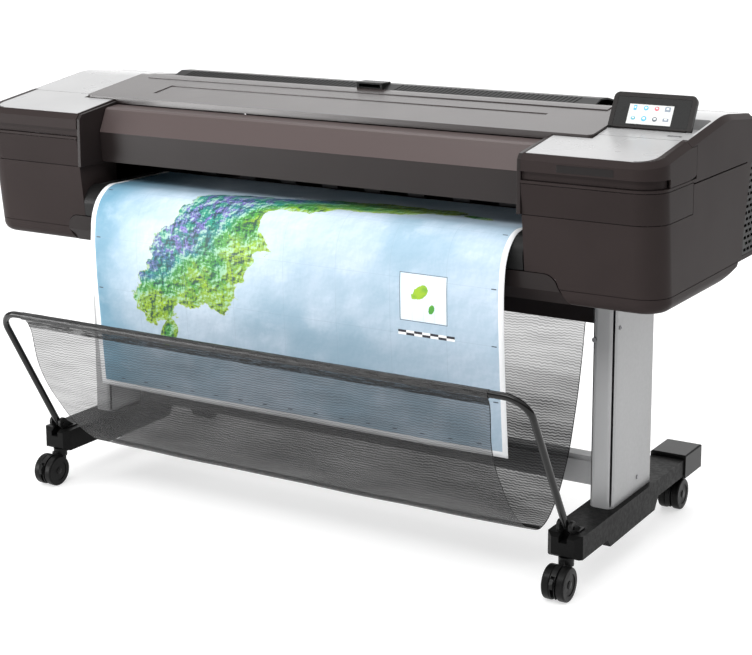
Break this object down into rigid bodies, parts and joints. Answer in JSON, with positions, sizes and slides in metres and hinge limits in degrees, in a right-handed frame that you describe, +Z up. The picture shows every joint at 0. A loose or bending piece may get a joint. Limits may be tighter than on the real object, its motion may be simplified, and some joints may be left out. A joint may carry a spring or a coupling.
{
  "type": "large format plotter",
  "caption": "Wide roll-fed inkjet plotter on a wheeled stand, with crowned end modules, tilting touchscreen, hinged covers, moving carriage and a mesh catch basket.",
  "frame": {"origin": "centre of the plotter's plan on the floor, under the middle of its overall box", "axes": "+X along the paper roll to the user's right, +Y to the back of the machine, +Z up"},
  "size_m": [1.802, 0.8794, 1.0508],
  "materials": {
    "body_cover": "fine textured warm dark grey",
    "band_cover": "fine textured warm dark grey",
    "top_plate": "satin light grey",
    "centre_panel": "fine textured warm dark grey",
    "window_cover": "satin dark grey",
    "end_strip": "satin dark grey",
    "gloss_black": "glossy black",
    "black_plastic": "black moulded",
    "platen_steel": "dark coated steel",
    "frame_steel": "dark grey powder coat",
    "stand_grey": "light grey powder coat",
    "brace_grey": "mid grey powder coat",
    "foot_black": "black powder coat",
    "bar_black": "glossy black enamel",
    "bracket_black": "black moulded nylon",
    "wheel_tread": "black tread",
    "brake_black": "black moulded",
    "mesh_cloth": "open grey mesh",
    "print_paper": "coated paper",
    "roll_paper": "coated paper",
    "rod_steel": "ground and hardened",
    "roller_rubber": "grit coated",
    "belt_rubber": "toothed belt",
    "pulley_metal": "machined",
    "motor_steel": "plated",
    "carriage_plastic": "black moulded",
    "head_plastic": "dark blue grey moulded",
    "ink_plastic": "black moulded",
    "board_green": "solder mask",
    "inlet_black": "black moulded",
    "bezel_black": "black moulded",
    "screen_face": "glossy black touch panel",
    "button_silver": "satin",
    "fastener_steel": "plated"
  },
  "bodies": {
    "frame": {"module_shell_left": "body_cover", "module_shell_right": "body_cover", "band_panels": "band_cover", "top_plates": "top_plate", "top_panel": "centre_panel", "window_end_plates": "end_strip", "lower_front_cover": "gloss_black", "output_lip": "black_plastic", "platen": "platen_steel", "base_frame": "frame_steel", "rear_box_left": "body_cover", "rear_box_right": "body_cover", "vent_grilles": "black_plastic", "paper_sheet": "print_paper", "carriage_rails": "rod_steel", "drive_belt": "belt_rubber", "drive_motors": "motor_steel", "service_station": "carriage_plastic", "ink_cartridges": "ink_plastic", "electronics_board": "board_green", "power_inlet": "inlet_black", "leg_left": "stand_grey", "leg_right": "stand_grey", "foot_left": "foot_black", "foot_right": "foot_black", "foot_end_caps": "bracket_black", "cross_brace": "brace_grey", "stand_top_beam": "gloss_black", "bar_brackets": "bracket_black", "basket_mesh": "mesh_cloth", "stand_fasteners": "fastener_steel"},
    "front_window": {"front_window": "window_cover"},
    "ink_cover_left": {"ink_cover_left": "body_cover", "cover_plate_left": "top_plate"},
    "ink_cover_right": {"ink_cover_right": "body_cover", "cover_plate_right": "top_plate"},
    "control_panel": {"touchscreen": "bezel_black", "screen_glass": "screen_face"},
    "power_button": {"power_button": "button_silver"},
    "carriage": {"print_carriage": "carriage_plastic", "printheads": "head_plastic"},
    "motor_pulley": {"motor_pulley": "pulley_metal"},
    "idler_pulley": {"idler_pulley": "pulley_metal"},
    "feed_roller": {"feed_roller": "roller_rubber"},
    "pinch_rollers": {"pinch_rollers": "roller_rubber"},
    "media_spindle": {"roll_spindle": "black_plastic", "paper_roll": "roll_paper"},
    "roll_cover": {"roll_cover": "black_plastic"},
    "bin_bar": {"bin_bar": "bar_black"},
    "power_switch": {"power_switch": "inlet_black"},
    "caster_front_left": {"caster_fork_front_left": "bracket_black"},
    "wheels_front_left": {"caster_wheels_front_left": "wheel_tread"},
    "caster_rear_left": {"caster_fork_rear_left": "bracket_black"},
    "wheels_rear_left": {"caster_wheels_rear_left": "wheel_tread"},
    "brake_left": {"brake_lever_left": "brake_black"},
    "caster_front_right": {"caster_fork_front_right": "bracket_black"},
    "wheels_front_right": {"caster_wheels_front_right": "wheel_tread"},
    "caster_rear_right": {"caster_fork_rear_right": "bracket_black"},
    "wheels_rear_right": {"caster_wheels_rear_right": "wheel_tread"},
    "brake_right": {"brake_lever_right": "brake_black"}
  },
  "joints": [
    {"name": "window_hinge", "type": "hinge", "parent": "frame", "child": "front_window", "pos_m": [0, -0.12075, 0.948], "axis": [1, 0, 0], "range_deg": [-70, 0]},
    {"name": "screen_tilt", "type": "hinge", "parent": "frame", "child": "control_panel", "pos_m": [0.783, -0.03275, 0.98], "axis": [1, 0, 0], "range_deg": [-60, 0]},
    {"name": "power_press", "type": "slide", "parent": "frame", "child": "power_button", "axis": [0, 0, -1], "range_m": [0, 0.0015], "stiffness_N_per_m": 400},
    {"name": "carriage_slide", "type": "slide", "parent": "frame", "child": "carriage", "axis": [-1, 0, 0], "range_m": [0, 1.4]},
    {"name": "motor_pulley_spin", "type": "hinge", "parent": "frame", "child": "motor_pulley", "pos_m": [0.862, 0.01525, 0.868], "axis": [0, 1, 0], "continuous": true},
    {"name": "idler_pulley_spin", "type": "hinge", "parent": "frame", "child": "idler_pulley", "pos_m": [-0.862, 0.01525, 0.868], "axis": [0, 1, 0], "continuous": true},
    {"name": "feed_spin", "type": "hinge", "parent": "frame", "child": "feed_roller", "pos_m": [0, 0.03925, 0.753], "axis": [1, 0, 0], "continuous": true},
    {"name": "pinch_spin", "type": "hinge", "parent": "frame", "child": "pinch_rollers", "pos_m": [0, 0.03925, 0.7771], "axis": [1, 0, 0], "continuous": true},
    {"name": "spindle_spin", "type": "hinge", "parent": "frame", "child": "media_spindle", "pos_m": [0, 0.34625, 0.8], "axis": [1, 0, 0], "continuous": true},
    {"name": "roll_cover_hinge", "type": "hinge", "parent": "frame", "child": "roll_cover", "pos_m": [0, 0.43025, 0.735], "axis": [1, 0, 0], "range_deg": [-75, 0]},
    {"name": "bar_hinge", "type": "hinge", "parent": "frame", "child": "bin_bar", "pos_m": [0, -0.24075, 0.152], "axis": [1, 0, 0], "range_deg": [-20, 0], "deforming": ["basket_mesh"]},
    {"name": "power_rocker", "type": "hinge", "parent": "frame", "child": "power_switch", "pos_m": [0.741, 0.42925, 0.712], "axis": [1, 0, 0], "range_deg": [0, 10]},
    {"name": "ink_cover_left_hinge", "type": "hinge", "parent": "frame", "child": "ink_cover_left", "pos_m": [-0.748, -0.08675, 0.9683], "axis": [1, 0, 0], "range_deg": [-65, 0]},
    {"name": "swivel_front_left", "type": "hinge", "parent": "frame", "child": "caster_front_left", "pos_m": [-0.7045, -0.23675, 0.08], "axis": [0, 0, 1], "continuous": true},
    {"name": "roll_front_left", "type": "hinge", "parent": "caster_front_left", "child": "wheels_front_left", "pos_m": [-0.7045, -0.27075, 0.0375], "axis": [1, 0, 0], "continuous": true},
    {"name": "swivel_rear_left", "type": "hinge", "parent": "frame", "child": "caster_rear_left", "pos_m": [-0.7045, 0.40225, 0.08], "axis": [0, 0, 1], "continuous": true},
    {"name": "roll_rear_left", "type": "hinge", "parent": "caster_rear_left", "child": "wheels_rear_left", "pos_m": [-0.7045, 0.36825, 0.0375], "axis": [1, 0, 0], "continuous": true},
    {"name": "brake_left_press", "type": "hinge", "parent": "caster_front_left", "child": "brake_left", "pos_m": [-0.7045, -0.29875, 0.053], "axis": [1, 0, 0], "range_deg": [0, 12]},
    {"name": "ink_cover_right_hinge", "type": "hinge", "parent": "frame", "child": "ink_cover_right", "pos_m": [0.748, -0.08675, 0.9683], "axis": [1, 0, 0], "range_deg": [-65, 0]},
    {"name": "swivel_front_right", "type": "hinge", "parent": "frame", "child": "caster_front_right", "pos_m": [0.7045, -0.23675, 0.08], "axis": [0, 0, 1], "continuous": true},
    {"name": "roll_front_right", "type": "hinge", "parent": "caster_front_right", "child": "wheels_front_right", "pos_m": [0.7045, -0.27075, 0.0375], "axis": [1, 0, 0], "continuous": true},
    {"name": "swivel_rear_right", "type": "hinge", "parent": "frame", "child": "caster_rear_right", "pos_m": [0.7045, 0.40225, 0.08], "axis": [0, 0, 1], "continuous": true},
    {"name": "roll_rear_right", "type": "hinge", "parent": "caster_rear_right", "child": "wheels_rear_right", "pos_m": [0.7045, 0.36825, 0.0375], "axis": [1, 0, 0], "continuous": true},
    {"name": "brake_right_press", "type": "hinge", "parent": "caster_front_right", "child": "brake_right", "pos_m": [0.7045, -0.29875, 0.053], "axis": [1, 0, 0], "range_deg": [0, 12]}
  ],
  "couplings": [
    {"joint": "motor_pulley_spin", "follows": "carriage_slide", "rad_per_m": -76},
    {"joint": "idler_pulley_spin", "follows": "carriage_slide", "rad_per_m": -76},
    {"joint": "pinch_spin", "follows": "feed_spin", "ratio": -1.2381}
  ]
}
